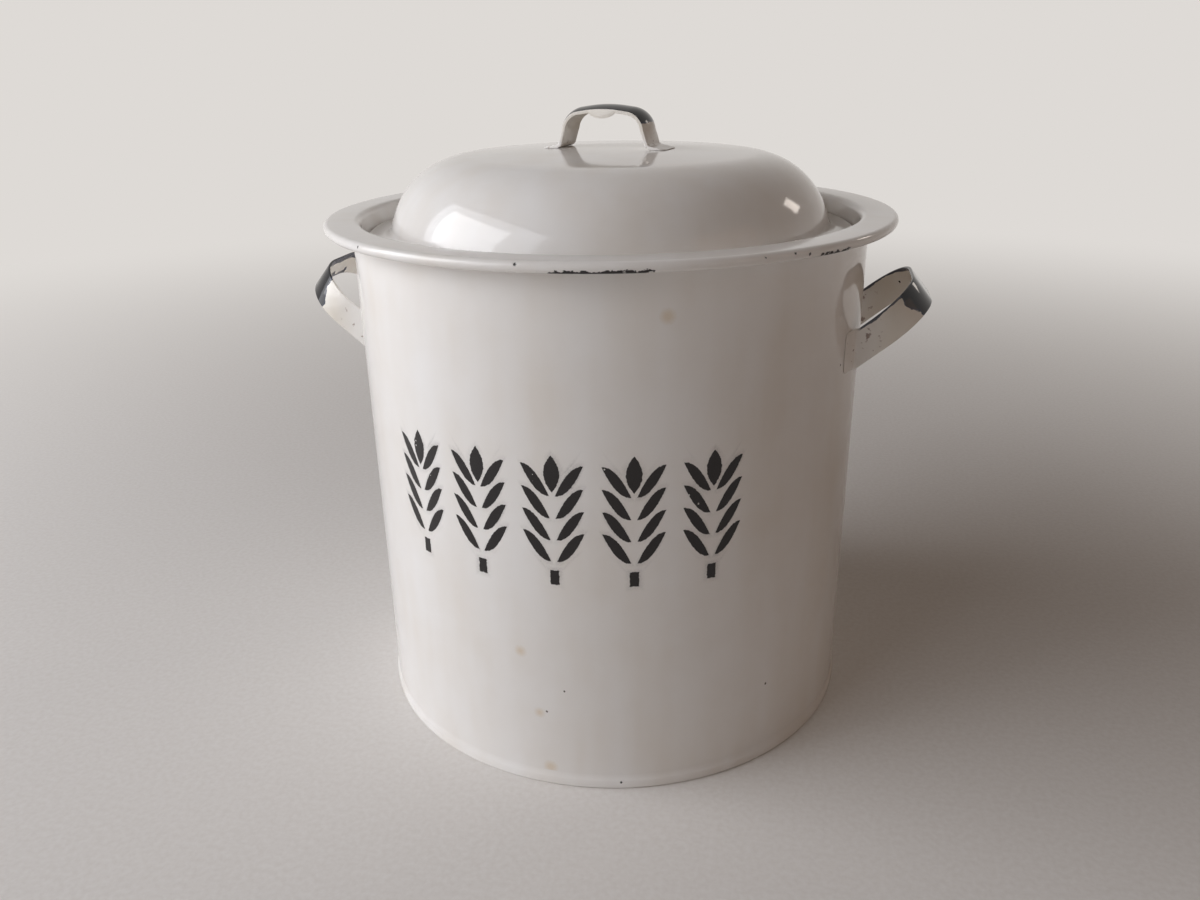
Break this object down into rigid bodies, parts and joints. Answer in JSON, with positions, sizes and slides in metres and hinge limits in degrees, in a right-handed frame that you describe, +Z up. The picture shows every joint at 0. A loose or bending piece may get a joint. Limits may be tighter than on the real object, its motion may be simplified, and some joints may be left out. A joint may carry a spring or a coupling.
{
  "type": "bread bin",
  "caption": "Round enamelled steel bread bin with a recessed domed lift-off lid, rolled flange rim, two tilted strap side handles and a strap lid handle.",
  "frame": {"origin": "centre of the foot ring, on the surface that the bin stands on", "axes": "+Z up along the bin's axis, -Y towards the stencilled front, side handles on the X axis"},
  "size_m": [0.3502, 0.309, 0.3364],
  "materials": {
    "body_enamel": "gloss",
    "lid_enamel": "gloss",
    "handle_enamel": "gloss",
    "steel_wire": "satin"
  },
  "bodies": {
    "bin": {"side_wall": "body_enamel", "rim_collar": "body_enamel", "rim_wire": "steel_wire", "base_pan": "body_enamel", "left_handle": "handle_enamel", "right_handle": "handle_enamel"},
    "lid": {"lid_shell": "lid_enamel", "lid_handle": "handle_enamel"}
  },
  "joints": [
    {"name": "lid_lift", "type": "slide", "parent": "bin", "child": "lid", "axis": [0, 0, 1], "range_m": [0, 0.15]}
  ]
}
